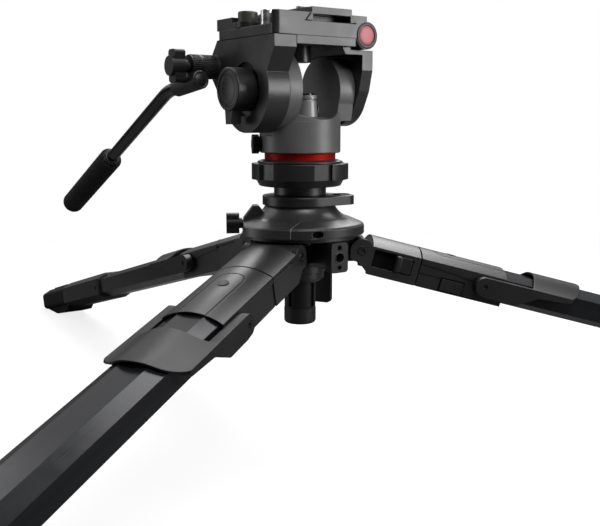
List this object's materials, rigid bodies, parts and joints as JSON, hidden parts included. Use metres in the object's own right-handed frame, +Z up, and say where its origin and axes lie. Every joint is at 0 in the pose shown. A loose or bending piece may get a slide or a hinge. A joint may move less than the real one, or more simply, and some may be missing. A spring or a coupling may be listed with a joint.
{
  "type": "fluid video head on tripod",
  "caption": "Low, wide-spread tripod with flip-lock legs, a short column and a fluid video head with a pan handle.",
  "frame": {"origin": "on the floor under the pan axis, level with the three soles", "axes": "+Z up along the column; +X along the tilt axis towards the plain arm; +Y towards the pan handle"},
  "size_m": [1.0844, 0.9419, 0.3622],
  "materials": {
    "satin_plastic": "fine-textured black moulding",
    "coated_casting": "black powder-coated casting",
    "anodised_tube": "dark anodised tube, brushed along its length",
    "gloss_rod": "gloss black",
    "grip_rubber": "soft foam rubber",
    "foot_rubber": "matt moulded rubber",
    "red_anodised": "satin red coat",
    "olive_metal": "satin grey-green coat",
    "bright_steel": "polished",
    "zinc_steel": "turned steel",
    "vial_glass": "clear, tinted liquid"
  },
  "bodies": {
    "crown": {"crown_casting": "coated_casting", "crown_cover": "satin_plastic", "crown_screws": "zinc_steel", "leg_hinge_pins": "zinc_steel", "column_guide_bush": "satin_plastic", "accessory_plate": "coated_casting", "rear_hanger_plate": "coated_casting"},
    "column_lock": {"column_lock_knob": "satin_plastic"},
    "level": {"level_ring": "satin_plastic", "level_vial": "vial_glass"},
    "column": {"centre_column": "anodised_tube", "column_end_cap": "satin_plastic", "quick_release_base": "coated_casting", "red_base_ring": "red_anodised"},
    "release": {"quick_release_ring": "satin_plastic"},
    "pan_head": {"pan_housing": "coated_casting", "tilt_stub_shafts": "zinc_steel", "head_level_post": "satin_plastic", "head_level_vial": "vial_glass"},
    "pan_lock": {"pan_lock_knob": "satin_plastic"},
    "tilt_head": {"tilt_body": "coated_casting", "left_cheek": "coated_casting", "right_arm": "coated_casting"},
    "tilt_lock": {"tilt_lock_knob": "satin_plastic"},
    "plate_lever": {"plate_lock_lever": "satin_plastic", "lever_hub": "olive_metal"},
    "trigger": {"trigger_pin": "bright_steel"},
    "plate": {"sliding_plate": "coated_casting"},
    "screw": {"camera_screw": "zinc_steel"},
    "handle": {"handle_clamp": "satin_plastic", "handle_rod": "gloss_rod", "handle_grip": "grip_rubber"},
    "handle_lock": {"rosette_knob": "satin_plastic"},
    "leg_1": {"leg_1_shoulder": "coated_casting", "leg_1_housing": "satin_plastic", "leg_1_outer_tube": "anodised_tube", "leg_1_lower_collar": "satin_plastic"},
    "leg_1_lock": {"leg_1_lever": "satin_plastic"},
    "leg_1_angle": {"leg_1_selector": "satin_plastic"},
    "leg_1_middle": {"leg_1_middle_tube": "anodised_tube"},
    "leg_1_inner": {"leg_1_inner_tube": "anodised_tube", "leg_1_foot": "foot_rubber"},
    "leg_2": {"leg_2_shoulder": "coated_casting", "leg_2_housing": "satin_plastic", "leg_2_outer_tube": "anodised_tube", "leg_2_lower_collar": "satin_plastic"},
    "leg_2_lock": {"leg_2_lever": "satin_plastic"},
    "leg_2_angle": {"leg_2_selector": "satin_plastic"},
    "leg_2_middle": {"leg_2_middle_tube": "anodised_tube"},
    "leg_2_inner": {"leg_2_inner_tube": "anodised_tube", "leg_2_foot": "foot_rubber"},
    "leg_3": {"leg_3_shoulder": "coated_casting", "leg_3_housing": "satin_plastic", "leg_3_outer_tube": "anodised_tube", "leg_3_lower_collar": "satin_plastic"},
    "leg_3_lock": {"leg_3_lever": "satin_plastic"},
    "leg_3_angle": {"leg_3_selector": "satin_plastic"},
    "leg_3_middle": {"leg_3_middle_tube": "anodised_tube"},
    "leg_3_inner": {"leg_3_inner_tube": "anodised_tube", "leg_3_foot": "foot_rubber"}
  },
  "joints": [
    {"name": "column_slide", "type": "slide", "parent": "crown", "child": "column", "axis": [0, 0, 1], "range_m": [0, 0.02]},
    {"name": "column_lock_turn", "type": "hinge", "parent": "crown", "child": "column_lock", "pos_m": [-0.04503, 0.026, 0.18316], "axis": [-0.866, 0.5, 0], "range_deg": [0, 180]},
    {"name": "level_ring_turn", "type": "hinge", "parent": "crown", "child": "level", "pos_m": [0, 0, 0.19916], "axis": [0, 0, 1], "continuous": true},
    {"name": "quick_release_turn", "type": "hinge", "parent": "column", "child": "release", "pos_m": [0, 0, 0.21496], "axis": [0, 0, 1], "range_deg": [0, 40]},
    {"name": "pan_turn", "type": "hinge", "parent": "column", "child": "pan_head", "pos_m": [0, 0, 0.24276], "axis": [0, 0, 1], "continuous": true},
    {"name": "pan_lock_turn", "type": "hinge", "parent": "pan_head", "child": "pan_lock", "pos_m": [-0.031, 0.01445, 0.24996], "axis": [-0.9063, 0.4226, 0], "range_deg": [0, 180]},
    {"name": "tilt_turn", "type": "hinge", "parent": "pan_head", "child": "tilt_head", "pos_m": [0, 0, 0.29396], "axis": [1, 0, 0], "range_deg": [-50, 70]},
    {"name": "tilt_lock_turn", "type": "hinge", "parent": "tilt_head", "child": "tilt_lock", "pos_m": [-0.054, 0, 0.29396], "axis": [1, 0, 0], "range_deg": [-60, 30]},
    {"name": "plate_lever_turn", "type": "hinge", "parent": "tilt_head", "child": "plate_lever", "pos_m": [-0.045, 0.009, 0.34626], "axis": [0, 0, 1], "range_deg": [0, 60]},
    {"name": "trigger_press", "type": "slide", "parent": "tilt_head", "child": "trigger", "axis": [0, 0, -1], "range_m": [0, 0.003], "stiffness_N_per_m": 600},
    {"name": "plate_slide", "type": "slide", "parent": "tilt_head", "child": "plate", "axis": [0, 1, 0], "range_m": [-0.025, 0.025]},
    {"name": "camera_screw_turn", "type": "hinge", "parent": "plate", "child": "screw", "pos_m": [0, 0, 0.35666], "axis": [0, 0, 1], "continuous": true},
    {"name": "handle_pivot", "type": "hinge", "parent": "tilt_head", "child": "handle", "pos_m": [-0.0694, 0.047, 0.31346], "axis": [1, 0, 0], "range_deg": [-15, 75]},
    {"name": "handle_lock_turn", "type": "hinge", "parent": "tilt_head", "child": "handle_lock", "pos_m": [-0.0796, 0.047, 0.31346], "axis": [1, 0, 0], "range_deg": [0, 180]},
    {"name": "leg_1_spread", "type": "hinge", "parent": "crown", "child": "leg_1", "pos_m": [-0.04356, -0.02515, 0.16136], "axis": [-0.5, 0.866, 0], "range_deg": [-72, 0]},
    {"name": "leg_1_lever_lift", "type": "hinge", "parent": "leg_1", "child": "leg_1_lock", "pos_m": [-0.13394, -0.07733, 0.12965], "axis": [-0.5, 0.866, 0], "range_deg": [0, 75]},
    {"name": "leg_1_angle_slide", "type": "slide", "parent": "leg_1", "child": "leg_1_angle", "axis": [0.8373, 0.4834, 0.2554], "range_m": [0, 0.012]},
    {"name": "leg_1_middle_slide", "type": "slide", "parent": "leg_1", "child": "leg_1_middle", "axis": [-0.8373, -0.4834, -0.2554], "range_m": [0, 0.22]},
    {"name": "leg_1_inner_slide", "type": "slide", "parent": "leg_1_middle", "child": "leg_1_inner", "axis": [-0.8373, -0.4834, -0.2554], "range_m": [0, 0.3]},
    {"name": "leg_2_spread", "type": "hinge", "parent": "crown", "child": "leg_2", "pos_m": [0.04356, -0.02515, 0.16136], "axis": [-0.5, -0.866, 0], "range_deg": [-72, 0]},
    {"name": "leg_2_lever_lift", "type": "hinge", "parent": "leg_2", "child": "leg_2_lock", "pos_m": [0.13394, -0.07733, 0.12965], "axis": [-0.5, -0.866, 0], "range_deg": [0, 75]},
    {"name": "leg_2_angle_slide", "type": "slide", "parent": "leg_2", "child": "leg_2_angle", "axis": [-0.8373, 0.4834, 0.2554], "range_m": [0, 0.012]},
    {"name": "leg_2_middle_slide", "type": "slide", "parent": "leg_2", "child": "leg_2_middle", "axis": [0.8373, -0.4834, -0.2554], "range_m": [0, 0.22]},
    {"name": "leg_2_inner_slide", "type": "slide", "parent": "leg_2_middle", "child": "leg_2_inner", "axis": [0.8373, -0.4834, -0.2554], "range_m": [0, 0.3]},
    {"name": "leg_3_spread", "type": "hinge", "parent": "crown", "child": "leg_3", "pos_m": [0, 0.0503, 0.16136], "axis": [1, 0, 0], "range_deg": [-72, 0]},
    {"name": "leg_3_lever_lift", "type": "hinge", "parent": "leg_3", "child": "leg_3_lock", "pos_m": [0, 0.15466, 0.12965], "axis": [1, 0, 0], "range_deg": [0, 75]},
    {"name": "leg_3_angle_slide", "type": "slide", "parent": "leg_3", "child": "leg_3_angle", "axis": [0, -0.9668, 0.2554], "range_m": [0, 0.012]},
    {"name": "leg_3_middle_slide", "type": "slide", "parent": "leg_3", "child": "leg_3_middle", "axis": [0, 0.9668, -0.2554], "range_m": [0, 0.22]},
    {"name": "leg_3_inner_slide", "type": "slide", "parent": "leg_3_middle", "child": "leg_3_inner", "axis": [0, 0.9668, -0.2554], "range_m": [0, 0.3]}
  ]
}
